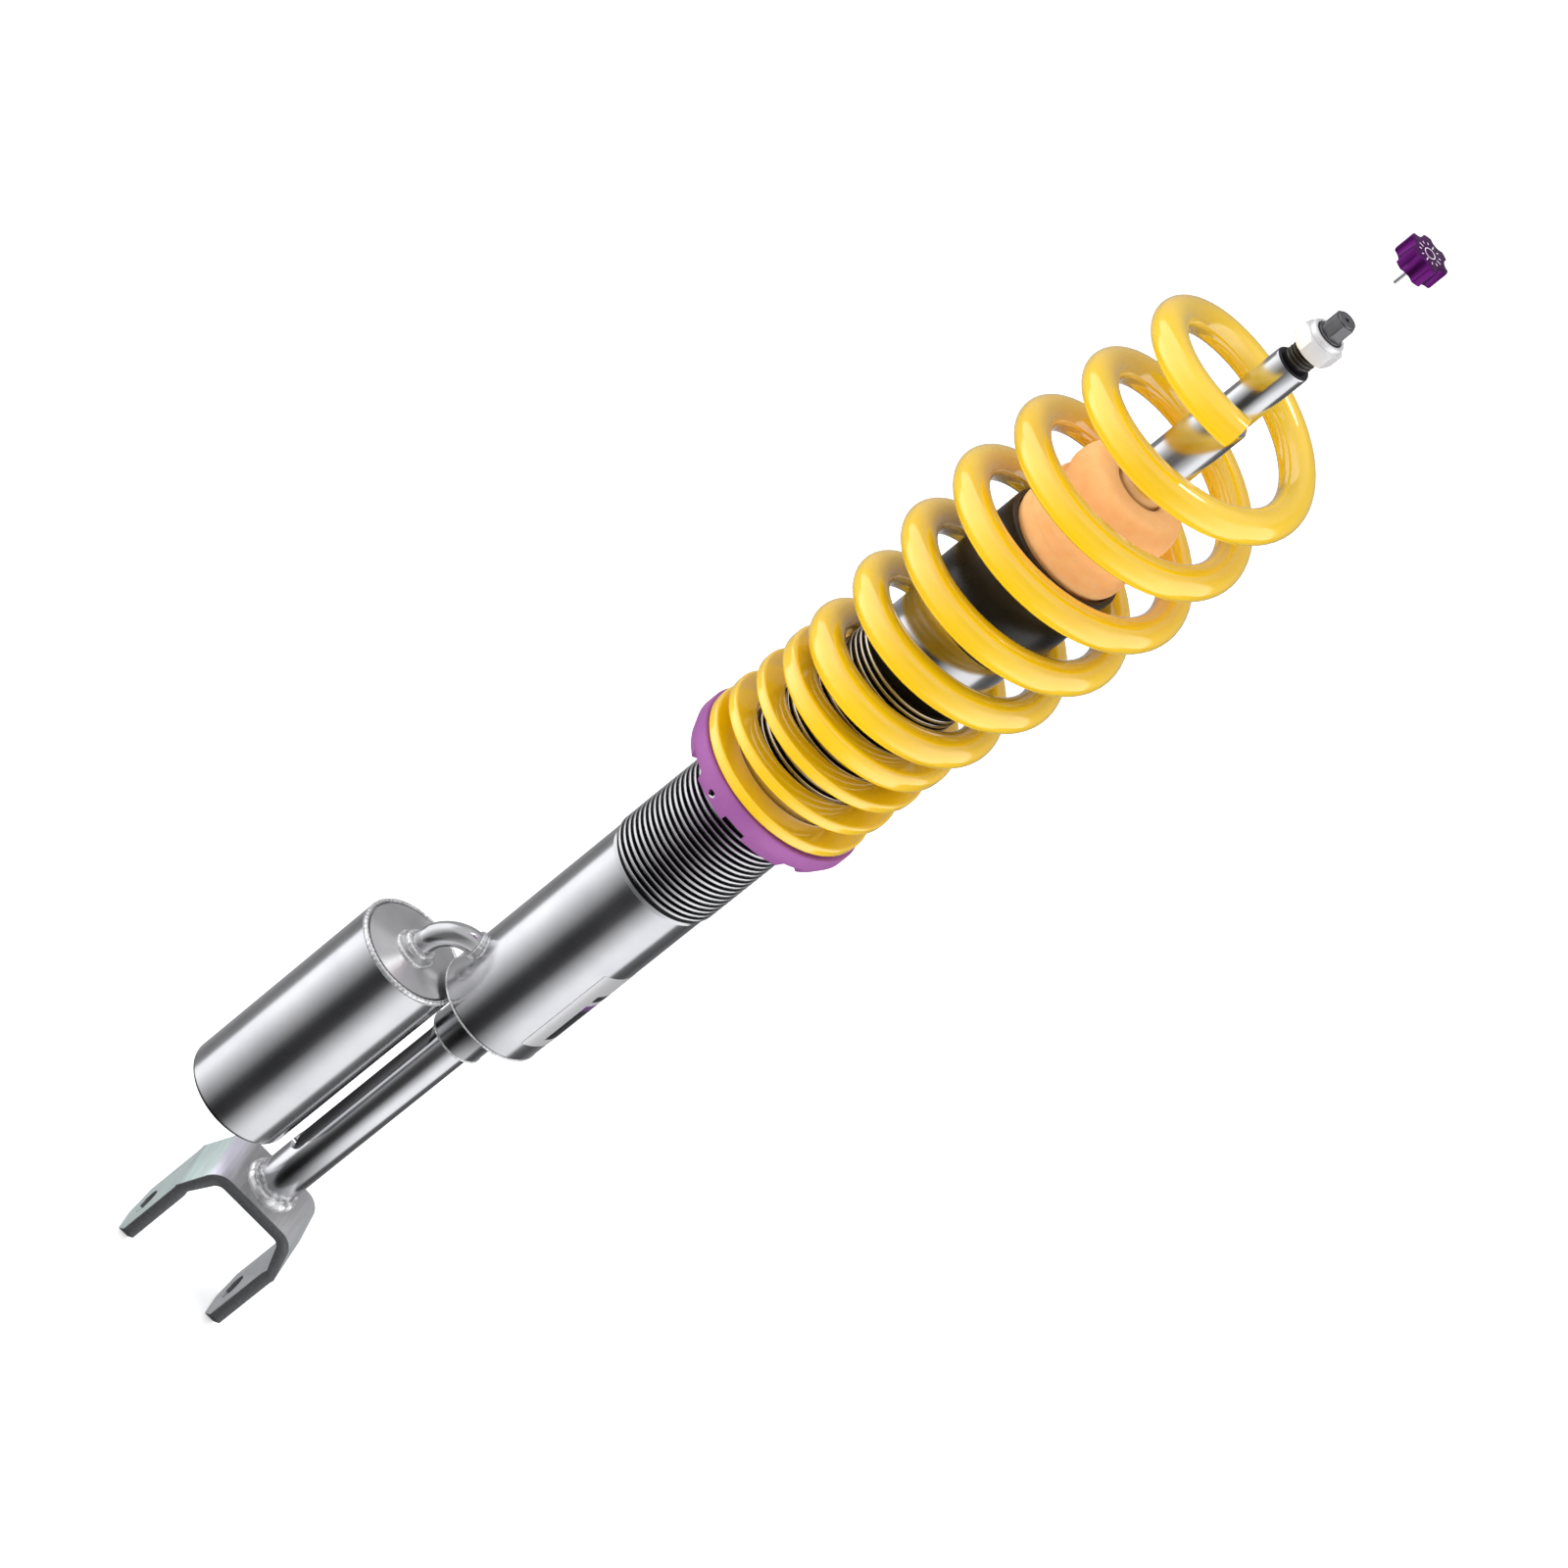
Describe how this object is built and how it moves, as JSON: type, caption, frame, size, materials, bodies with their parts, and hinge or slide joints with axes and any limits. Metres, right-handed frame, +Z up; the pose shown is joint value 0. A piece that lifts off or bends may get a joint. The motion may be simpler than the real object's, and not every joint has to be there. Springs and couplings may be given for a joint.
{
  "type": "coilover strut",
  "caption": "Fork-mount coilover strut with threaded body, screw-adjustable spring perch, side gas reservoir joined by a bent pipe, and a pulled-off adjuster knob.",
  "frame": {"origin": "centre of the fork's bolt hole line, midway between the two ears", "axes": "+Z up the damper axis toward the rod's stud, +X along the fork bolt, away from the reservoir"},
  "size_m": [0.1172, 0.1042, 0.736],
  "materials": {
    "zinc_plate": "zinc-plated bent plate, satin",
    "weld_bead": "bright rippled weld bead",
    "polished_steel": "polished stainless tube",
    "turned_steel": "turned stainless face",
    "hidden_steel": "plain machined steel",
    "blank_label": "blank foil label",
    "sintered_bronze": "machined bronze",
    "black_rubber": "moulded black rubber",
    "black_oxide_steel": "black oxide steel",
    "black_sleeve": "black moulded plastic, satin",
    "foam": "microcellular polyurethane",
    "plain_aluminium": "turned aluminium",
    "chrome_rod": "hard chrome piston rod",
    "bright_zinc": "bright zinc-plated nut",
    "purple_anodised": "dark purple anodised aluminium",
    "purple_collar": "purple anodised aluminium, matt",
    "pin_steel": "bright steel",
    "yellow_coat": "yellow powder coat, gloss"
  },
  "bodies": {
    "strut": {"fork_bracket": "zinc_plate", "fork_weld": "weld_bead", "leg_bar": "polished_steel", "foot_plug": "polished_steel", "boss_weld": "weld_bead", "strut_tube": "polished_steel", "tube_label": "blank_label", "cartridge_tube": "hidden_steel", "foot_valve": "sintered_bronze", "foot_valve_shims": "hidden_steel", "rod_guide": "sintered_bronze", "rod_seal": "black_rubber", "gland_nut": "black_oxide_steel", "rod_wiper": "black_rubber", "dust_sleeve": "black_sleeve", "bump_stop": "foam", "reservoir_tube": "polished_steel", "reservoir_cap": "turned_steel", "reservoir_weld": "weld_bead", "reservoir_base": "turned_steel", "fill_plug": "sintered_bronze", "reservoir_boss": "turned_steel", "boss_ring_weld": "weld_bead", "crossover_pipe": "polished_steel", "pipe_weld_boss": "weld_bead", "pipe_weld_tube": "weld_bead"},
    "gas_piston": {"floating_piston": "plain_aluminium", "floating_seal": "black_rubber"},
    "rod": {"piston_rod": "chrome_rod", "rebound_stop": "sintered_bronze", "piston": "sintered_bronze", "piston_band": "black_sleeve", "piston_shims": "hidden_steel", "piston_nut": "black_oxide_steel", "top_nut": "bright_zinc", "nut_ring": "bright_zinc"},
    "adjuster": {"adjuster_spindle": "sintered_bronze"},
    "knob": {"knob": "purple_anodised", "knob_pin": "pin_steel"},
    "perch": {"centring_sleeve": "polished_steel", "spring": "yellow_coat"},
    "collar": {"perch_collar": "purple_collar", "perch_screw": "pin_steel"}
  },
  "joints": [
    {"name": "rod_slide", "type": "slide", "parent": "strut", "child": "rod", "axis": [0, 0, 1], "range_m": [-0.07, 0], "stiffness_N_per_m": 1500, "springref_m": 0.2, "deforming": ["spring"]},
    {"name": "gas_piston_slide", "type": "slide", "parent": "strut", "child": "gas_piston", "axis": [0, 0, 1], "range_m": [-0.014, 0]},
    {"name": "spindle_turn", "type": "hinge", "parent": "rod", "child": "adjuster", "pos_m": [0, 0, 0.66], "axis": [0, 0, 1], "range_deg": [0, 720]},
    {"name": "knob_fit", "type": "slide", "parent": "adjuster", "child": "knob", "axis": [0, 0, 1], "range_m": [-0.033, 0.01]},
    {"name": "collar_height", "type": "slide", "parent": "strut", "child": "perch", "axis": [0, 0, 1], "range_m": [-0.045, 0.015]},
    {"name": "collar_turn", "type": "hinge", "parent": "perch", "child": "collar", "pos_m": [0, 0, 0.36], "axis": [0, 0, 1], "range_deg": [-5401, 1801]}
  ],
  "couplings": [
    {"joint": "gas_piston_slide", "follows": "rod_slide", "ratio": 0.1975},
    {"joint": "collar_turn", "follows": "collar_height", "rad_per_m": 2094.4}
  ]
}
